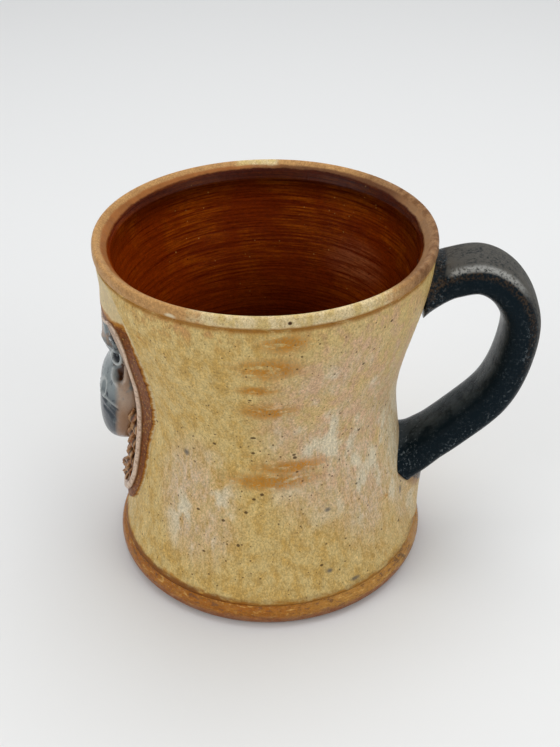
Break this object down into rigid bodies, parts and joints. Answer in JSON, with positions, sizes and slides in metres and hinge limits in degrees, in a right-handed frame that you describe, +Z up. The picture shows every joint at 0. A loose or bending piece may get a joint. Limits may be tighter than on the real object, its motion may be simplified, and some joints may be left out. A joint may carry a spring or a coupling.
{
  "type": "mug",
  "caption": "Waisted stoneware mug with a swept ear handle and, opposite it, a raised plaque bearing an animal's head.",
  "frame": {"origin": "on the mug's axis, in the plane that it stands on", "axes": "+Z up along the mug's axis, +X towards the handle, -X towards the plaque; the mug is alike on both sides of the XZ plane"},
  "size_m": [0.1247, 0.0926, 0.1024],
  "materials": {
    "foot_clay": "amber glaze pooled over speckled bare clay, satin",
    "cream_glaze": "satin cream glaze with grey mottling and iron specks",
    "black_glaze": "semi-gloss blue-black glaze with pale specks",
    "iron_wash": "matt speckled brown iron wash",
    "pale_border": "smooth pale pinkish clay, satin",
    "grey_glaze": "glossy blue-grey glaze",
    "eye_black": "glossy black glaze",
    "eyelid_grey": "glossy pale grey glaze",
    "mane_brown": "brown wash in the hollows, worn pale on the ridges"
  },
  "bodies": {
    "root": {"base_slab": "foot_clay", "body_wall": "cream_glaze", "handle": "black_glaze", "medallion_plaque": "iron_wash", "medallion_border": "pale_border", "head": "grey_glaze", "ear_left": "grey_glaze", "eye_left": "eye_black", "eyelid_left": "eyelid_grey", "mane_left_1": "mane_brown", "mane_left_2": "mane_brown", "mane_left_3": "mane_brown", "mane_left_4": "mane_brown", "mane_left_5": "mane_brown", "mane_left_6": "mane_brown", "ear_right": "grey_glaze", "eye_right": "eye_black", "eyelid_right": "eyelid_grey", "mane_right_1": "mane_brown", "mane_right_2": "mane_brown", "mane_right_3": "mane_brown", "mane_right_4": "mane_brown", "mane_right_5": "mane_brown", "mane_right_6": "mane_brown"}
  },
  "joints": []
}
